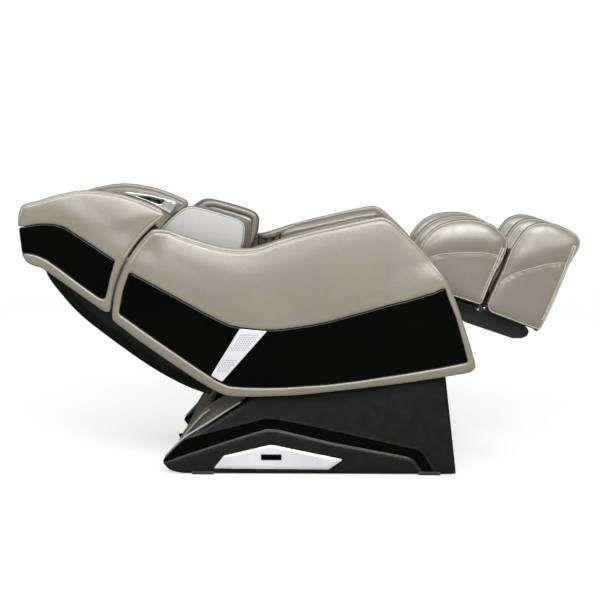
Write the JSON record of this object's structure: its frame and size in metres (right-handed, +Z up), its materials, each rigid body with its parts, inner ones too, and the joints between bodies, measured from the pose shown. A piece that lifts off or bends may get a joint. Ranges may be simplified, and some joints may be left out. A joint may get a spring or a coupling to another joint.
{
  "type": "massage chair",
  "caption": "Reclining zero-gravity massage chair with padded arms, head wings, shoulder pods, calf and foot wells, and a low black base.",
  "frame": {"origin": "on the floor, in the middle of the bounding box seen from above", "axes": "+X towards the feet, +Y towards the sitter's left, +Z up"},
  "size_m": [1.8771, 0.858, 0.9671],
  "materials": {
    "taupe_leather": "champagne taupe upholstery leather with a soft metallic sheen, satin",
    "light_leather": "light grey-beige upholstery leather, satin",
    "gloss_black": "piano black moulding, polished",
    "matte_black": "fine-textured black moulding",
    "silver_trim": "pale silver paint, satin",
    "painted_steel": "dark grey powder coat",
    "bright_steel": "zinc-plated steel",
    "rubber": "moulded rubber",
    "dark_plastic": "moulded housing plastic"
  },
  "bodies": {
    "base": {"base_side_frame_left": "painted_steel", "base_side_frame_right": "painted_steel", "base_crossbar_front": "painted_steel", "base_crossbar_rear": "painted_steel", "foot_bar_front": "matte_black", "foot_bar_rear": "matte_black", "base_cover_left": "matte_black", "base_cover_right": "matte_black", "base_plate_left": "silver_trim", "base_plate_right": "silver_trim", "rear_skirt": "taupe_leather", "front_panel": "matte_black", "control_box": "dark_plastic", "air_compressor": "dark_plastic", "power_inlet": "dark_plastic"},
    "rocker": {"power_switch": "gloss_black"},
    "wheel_left": {"transport_wheel_left": "rubber"},
    "wheel_right": {"transport_wheel_right": "rubber"},
    "tilt_cylinder": {"tilt_actuator_body": "painted_steel"},
    "tilt_rod": {"tilt_actuator_rod": "bright_steel"},
    "carriage": {"seat_side_left": "painted_steel", "seat_side_right": "painted_steel", "tilt_shaft": "bright_steel", "recline_shaft": "bright_steel", "seat_crossbar_rear": "painted_steel", "seat_pan": "painted_steel", "seat_cushion": "taupe_leather", "arm_shell_left": "taupe_leather", "arm_shell_right": "taupe_leather", "arm_insert_left": "gloss_black", "arm_insert_right": "gloss_black", "speaker_grille_left": "silver_trim", "speaker_grille_right": "silver_trim", "arm_pad_left": "taupe_leather", "arm_pad_right": "taupe_leather"},
    "backrest": {"back_shell": "matte_black", "massage_track_left": "bright_steel", "massage_track_right": "bright_steel", "back_pad": "light_leather", "head_pillow": "light_leather", "head_hood": "matte_black", "back_bolster_left": "taupe_leather", "back_bolster_right": "taupe_leather", "shoulder_pod_left": "light_leather", "shoulder_pod_right": "light_leather", "head_wing_left": "taupe_leather", "head_wing_right": "taupe_leather", "wing_insert_left": "gloss_black", "wing_insert_right": "gloss_black"},
    "massage_unit": {"massage_carriage": "dark_plastic"},
    "kneader": {"knead_unit": "bright_steel"},
    "roller_left": {"massage_roller_left": "rubber"},
    "roller_right": {"massage_roller_right": "rubber"},
    "leg_cylinder": {"leg_actuator_body": "painted_steel"},
    "leg_rod": {"leg_actuator_rod": "bright_steel"},
    "leg_rest": {"leg_frame": "painted_steel", "calf_pad": "taupe_leather"},
    "foot_rest": {"foot_pad": "taupe_leather", "foot_frame": "painted_steel"},
    "sole_roller": {"foot_roller": "rubber"}
  },
  "joints": [
    {"name": "body_tilt", "type": "hinge", "parent": "base", "child": "carriage", "pos_m": [0.262, 0, 0.3], "axis": [0, 1, 0], "range_deg": [0, 18]},
    {"name": "back_recline", "type": "hinge", "parent": "carriage", "child": "backrest", "pos_m": [-0.212, 0, 0.528], "axis": [0, 1, 0], "range_deg": [-12, 15]},
    {"name": "legrest_lift", "type": "hinge", "parent": "carriage", "child": "leg_rest", "pos_m": [0.417, 0, 0.606], "axis": [0, 1, 0], "range_deg": [0, 40]},
    {"name": "foot_extension", "type": "slide", "parent": "leg_rest", "child": "foot_rest", "axis": [-0.9511, 0, 0.309], "range_m": [-0.1, 0]},
    {"name": "massage_travel", "type": "slide", "parent": "backrest", "child": "massage_unit", "axis": [-0.8387, 0, 0.5446], "range_m": [-0.035, 0.33]},
    {"name": "kneading", "type": "hinge", "parent": "massage_unit", "child": "kneader", "pos_m": [-0.39226, 0, 0.52583], "axis": [0, 1, 0], "continuous": true},
    {"name": "roller_spin_left", "type": "hinge", "parent": "kneader", "child": "roller_left", "pos_m": [-0.38573, 0, 0.53589], "axis": [0, 1, 0], "continuous": true},
    {"name": "roller_spin_right", "type": "hinge", "parent": "kneader", "child": "roller_right", "pos_m": [-0.38573, 0, 0.53589], "axis": [0, 1, 0], "continuous": true},
    {"name": "sole_roller_spin", "type": "hinge", "parent": "foot_rest", "child": "sole_roller", "pos_m": [0.83236, 0, 0.62876], "axis": [0, 1, 0], "continuous": true},
    {"name": "wheel_spin_left", "type": "hinge", "parent": "base", "child": "wheel_left", "pos_m": [-0.402, 0, 0.036], "axis": [0, 1, 0], "continuous": true},
    {"name": "wheel_spin_right", "type": "hinge", "parent": "base", "child": "wheel_right", "pos_m": [-0.402, 0, 0.036], "axis": [0, 1, 0], "continuous": true},
    {"name": "power_rocker", "type": "hinge", "parent": "base", "child": "rocker", "pos_m": [-0.424, 0, 0.081], "axis": [0, 1, 0], "range_deg": [0, 14]},
    {"name": "tilt_cylinder_swing", "type": "hinge", "parent": "base", "child": "tilt_cylinder", "pos_m": [0.02, 0, 0.06], "axis": [0, 1, 0], "range_deg": [0, 8.1]},
    {"name": "tilt_rod_stroke", "type": "slide", "parent": "tilt_cylinder", "child": "tilt_rod", "axis": [-0.2841, 0, 0.9588], "range_m": [0, 0.0915]},
    {"name": "leg_cylinder_swing", "type": "hinge", "parent": "carriage", "child": "leg_cylinder", "pos_m": [0.262, 0, 0.3], "axis": [0, 1, 0], "range_deg": [-11.1, 0]},
    {"name": "leg_rod_stroke", "type": "slide", "parent": "leg_cylinder", "child": "leg_rod", "axis": [0.6702, 0, 0.7422], "range_m": [-0.0448, 0]}
  ],
  "couplings": [
    {"joint": "tilt_cylinder_swing", "follows": "body_tilt", "ratio": 0.444},
    {"joint": "tilt_rod_stroke", "follows": "body_tilt", "m_per_rad": 0.2884},
    {"joint": "leg_cylinder_swing", "follows": "legrest_lift", "ratio": -0.2727},
    {"joint": "leg_rod_stroke", "follows": "legrest_lift", "m_per_rad": -0.0632}
  ]
}
